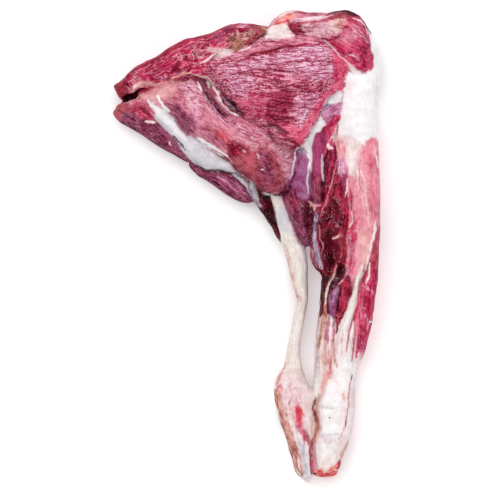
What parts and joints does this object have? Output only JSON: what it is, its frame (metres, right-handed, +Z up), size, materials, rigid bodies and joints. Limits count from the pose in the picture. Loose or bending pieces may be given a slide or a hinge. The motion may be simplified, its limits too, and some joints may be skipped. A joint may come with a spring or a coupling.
{
  "type": "raw goat hind leg",
  "caption": "Skinned raw goat leg lying flat: broad muscled thigh with fat seams, streaked shank, and a free white tendon bridging a slit down to the bony hock.",
  "frame": {"origin": "middle of the leg's outline, on the surface that it lies on", "axes": "+X across the leg from the thin thigh tip to the front of the knee, +Y along the shank from the hock up to the thigh, +Z up through the thickness"},
  "size_m": [0.2047, 0.3598, 0.07],
  "materials": {
    "raw_flesh": "moist raw muscle in crimson, rose and plum, with glossy membrane, white fat and cream tendon"
  },
  "bodies": {
    "root": {"goat_leg": "raw_flesh"}
  },
  "joints": []
}
